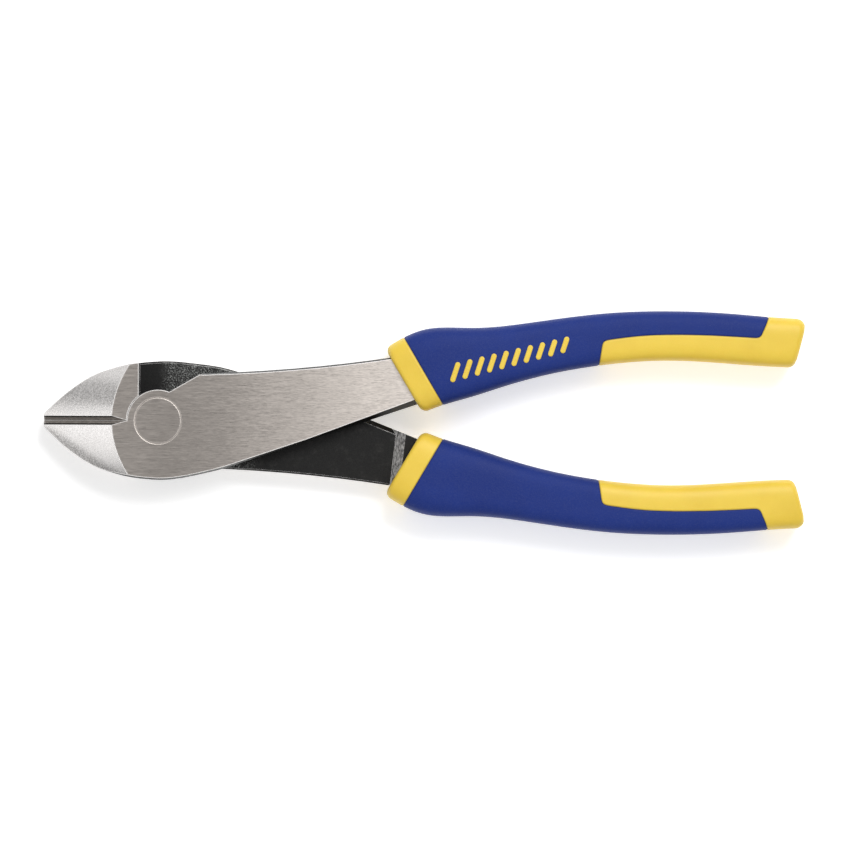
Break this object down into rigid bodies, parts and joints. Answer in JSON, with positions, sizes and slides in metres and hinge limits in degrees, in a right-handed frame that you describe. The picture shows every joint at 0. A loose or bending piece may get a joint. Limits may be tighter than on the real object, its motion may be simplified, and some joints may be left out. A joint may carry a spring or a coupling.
{
  "type": "diagonal cutting pliers",
  "caption": "Lap-joint diagonal cutting pliers with ground bevelled jaws, a flush rivet and long curved two-colour moulded grips, shown closed.",
  "frame": {"origin": "on the pivot axis, at the flat ground back face of the head, which is the end of the rivet", "axes": "+X from the pivot towards the handle ends, +Y from the lower to the upper handle, +Z along the rivet out of the front face"},
  "size_m": [0.2039, 0.06, 0.0177],
  "materials": {
    "forged_steel": "ground bright on the outer faces and jaws, blackened on the lap faces and side walls",
    "rivet_steel": "ground flush with the head",
    "blue_grip": "matte, finely textured soft moulding",
    "yellow_grip": "satin moulding",
    "hard_plastic": "satin moulding, hidden"
  },
  "bodies": {
    "front_lever": {"front_half": "forged_steel", "pivot_rivet": "rivet_steel", "upper_grip_sleeve": "hard_plastic", "upper_grip_shell": "blue_grip", "upper_grip_collar": "yellow_grip", "upper_grip_pad": "yellow_grip", "upper_grip_marking_bars": "yellow_grip"},
    "rear_lever": {"rear_half": "forged_steel", "lower_grip_sleeve": "hard_plastic", "lower_grip_shell": "blue_grip", "lower_grip_collar": "yellow_grip", "lower_grip_pad": "yellow_grip", "lower_grip_marking_bars": "yellow_grip"}
  },
  "joints": [
    {"name": "rivet_pivot", "type": "hinge", "parent": "front_lever", "child": "rear_lever", "pos_m": [0, 0, 0.006], "axis": [0, 0, -1], "range_deg": [0, 56]}
  ]
}
